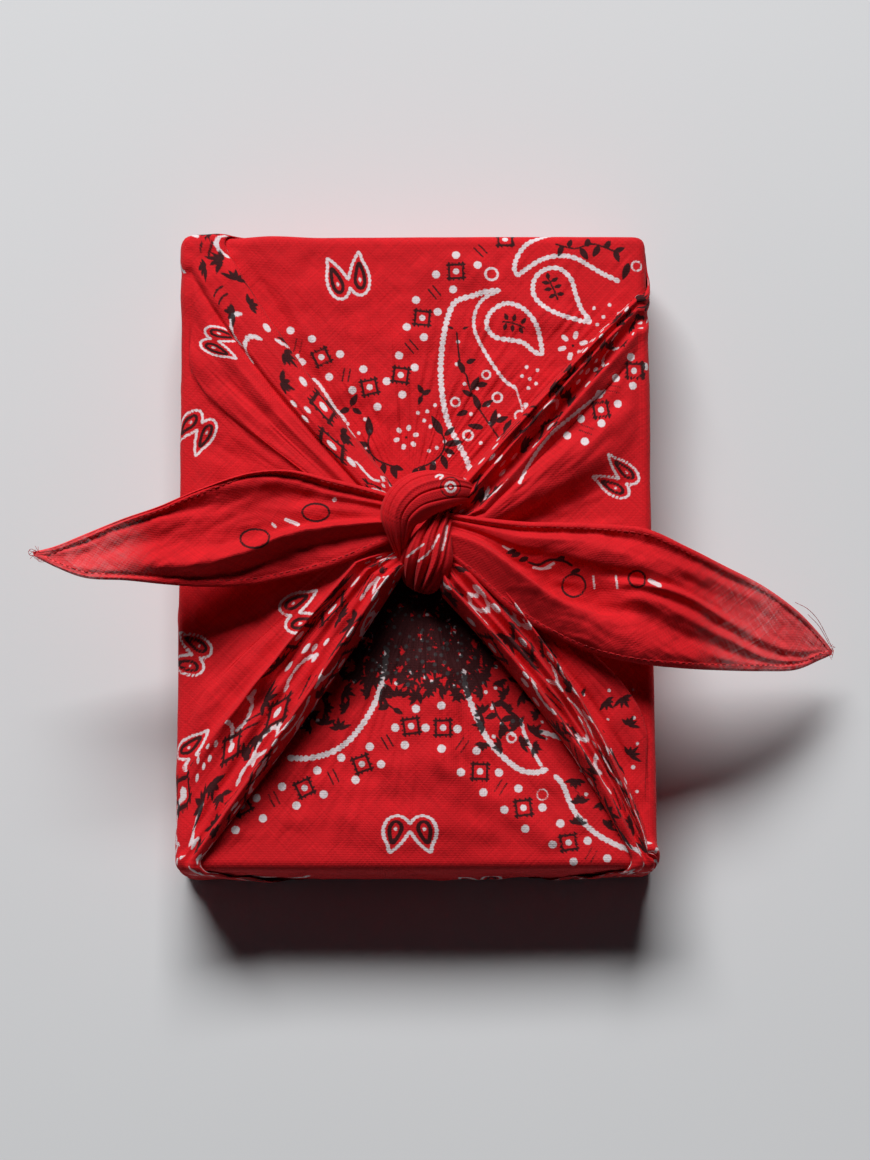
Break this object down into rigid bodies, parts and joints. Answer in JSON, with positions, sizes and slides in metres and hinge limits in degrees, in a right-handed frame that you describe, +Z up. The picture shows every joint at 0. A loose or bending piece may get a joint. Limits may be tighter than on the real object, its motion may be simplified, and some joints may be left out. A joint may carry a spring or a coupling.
{
  "type": "furoshiki wrap on a parcel box",
  "caption": "Square printed cotton cloth wrapped round a flat parcel box, its corners gathered and tied on top in a knot with free ends.",
  "frame": {"origin": "middle of the flat underside, on the surface that the parcel rests on", "axes": "+Z up from the surface, +Y along the parcel's long sides to its far short side, +X along the short sides, the way the drooping free end points"},
  "size_m": [0.2534, 0.2087, 0.0616],
  "materials": {
    "cotton": "thin printed plain-weave cotton, red with white and black motifs, matt",
    "carton": "plain brown carton board, matt"
  },
  "bodies": {
    "root": {"furoshiki_cloth": "cotton", "parcel": "carton"}
  },
  "joints": []
}
